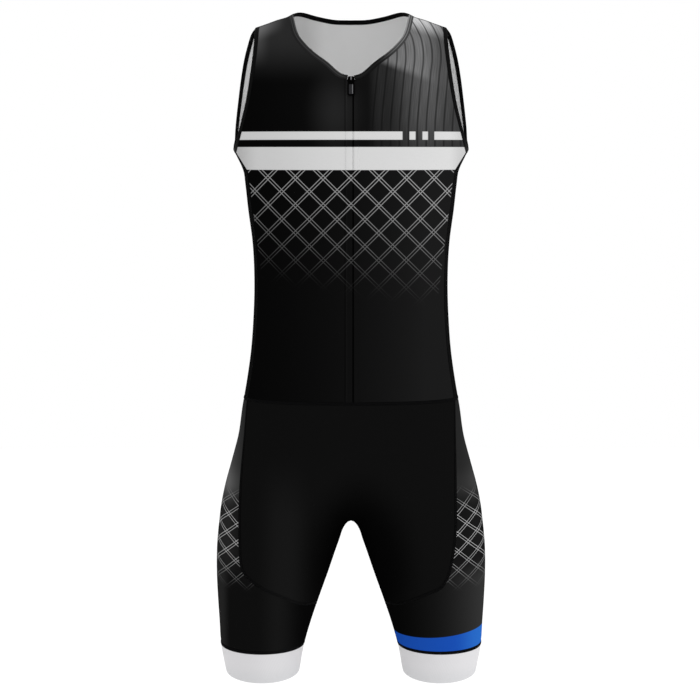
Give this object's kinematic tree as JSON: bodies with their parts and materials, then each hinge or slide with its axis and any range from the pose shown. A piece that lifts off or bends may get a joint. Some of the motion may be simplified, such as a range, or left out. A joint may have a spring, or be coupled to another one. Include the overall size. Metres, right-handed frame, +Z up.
{
  "type": "triathlon suit",
  "caption": "Sleeveless one-piece triathlon suit, filled out and hollow, with a front zip, curved hip panels and gripper cuffs on half-length legs.",
  "frame": {"origin": "midway between the two shoulder seams, where the wearer's shoulders hold the suit up", "axes": "+Z up, the front and its zip face -Y, +X is the wearer's left"},
  "size_m": [0.3924, 0.2335, 0.9599],
  "materials": {
    "black_jersey": "warp-knit stretch jersey, black with a white band and lattice print",
    "white_gripper": "white elastic gripper knit",
    "edge_tape": "folded black stretch binding",
    "zip_tape": "woven zip tape with moulded coil",
    "zip_metal": "black lacquered die-cast",
    "zip_pull": "black lacquered with a bright strip"
  },
  "bodies": {
    "suit": {"front_right": "black_jersey", "front_left": "black_jersey", "back": "black_jersey", "shorts_front": "black_jersey", "shorts_back": "black_jersey", "leg_right": "black_jersey", "leg_left": "black_jersey", "cuff_right": "white_gripper", "cuff_left": "white_gripper", "neck_binding": "edge_tape", "armhole_binding_right": "edge_tape", "armhole_binding_left": "edge_tape", "zip_tape": "zip_tape", "zip_slider": "zip_metal"},
    "pull_tab": {"zip_pull": "zip_pull"}
  },
  "joints": [
    {"name": "pull_hinge", "type": "hinge", "parent": "suit", "child": "pull_tab", "pos_m": [0, -0.09941, -0.09243], "axis": [-1, 0, 0], "range_deg": [0, 150]}
  ]
}
